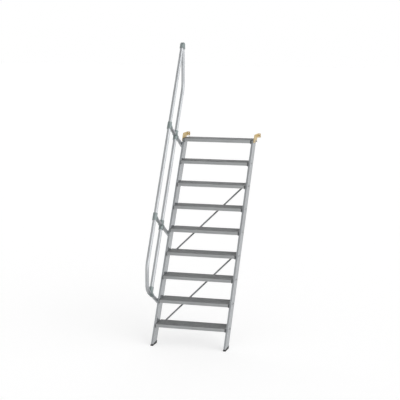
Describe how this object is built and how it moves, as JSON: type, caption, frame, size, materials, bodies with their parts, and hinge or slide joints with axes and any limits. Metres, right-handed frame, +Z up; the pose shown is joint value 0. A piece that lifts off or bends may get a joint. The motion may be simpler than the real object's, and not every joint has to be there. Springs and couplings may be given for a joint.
{
  "type": "aluminium stair",
  "caption": "Straight open-tread aluminium stair between two leaning stringers, with a looped tube handrail on one side and wall brackets at the top.",
  "frame": {"origin": "middle of the back face of the left wall bracket's flange, in the plane of the wall", "axes": "+Z up, +Y the way a person climbs, square into the wall, +X to the climber's right, across the treads"},
  "size_m": [0.9253, 1.485, 3.2346],
  "materials": {
    "stringer": "satin, mill finish",
    "tread": "ribbed, mill finish",
    "end_plate": "dark grey, satin",
    "tube": "satin, anodised",
    "fitting": "cast, matt",
    "brace": "satin",
    "bracket": "orange powder coat, satin",
    "cap": "matt",
    "rubber": "matt"
  },
  "bodies": {
    "root": {"handrail": "tube", "knee_rail": "tube", "left_foot": "rubber", "left_stringer": "stringer", "left_stringer_cap": "cap", "left_wall_bracket": "bracket", "lower_brace": "brace", "lower_brace_lugs": "brace", "lower_post": "tube", "lower_post_saddle": "fitting", "lower_tee": "fitting", "middle_handrail_tee": "fitting", "middle_knee_rail_cross": "fitting", "middle_post": "tube", "middle_post_saddle": "fitting", "right_foot": "rubber", "right_stringer": "stringer", "right_stringer_cap": "cap", "right_wall_bracket": "bracket", "top_elbow": "fitting", "tread_1": "tread", "tread_1_end_plates": "end_plate", "tread_2": "tread", "tread_2_end_plates": "end_plate", "tread_3": "tread", "tread_3_end_plates": "end_plate", "tread_4": "tread", "tread_4_end_plates": "end_plate", "tread_5": "tread", "tread_5_end_plates": "end_plate", "tread_6": "tread", "tread_6_end_plates": "end_plate", "tread_7": "tread", "tread_7_end_plates": "end_plate", "tread_8": "tread", "tread_8_end_plates": "end_plate", "tread_9": "tread", "tread_9_end_plates": "end_plate", "upper_brace": "brace", "upper_brace_lugs": "brace", "upper_handrail_tee": "fitting", "upper_knee_rail_cross": "fitting", "upper_post": "tube", "upper_post_saddle": "fitting"}
  },
  "joints": []
}
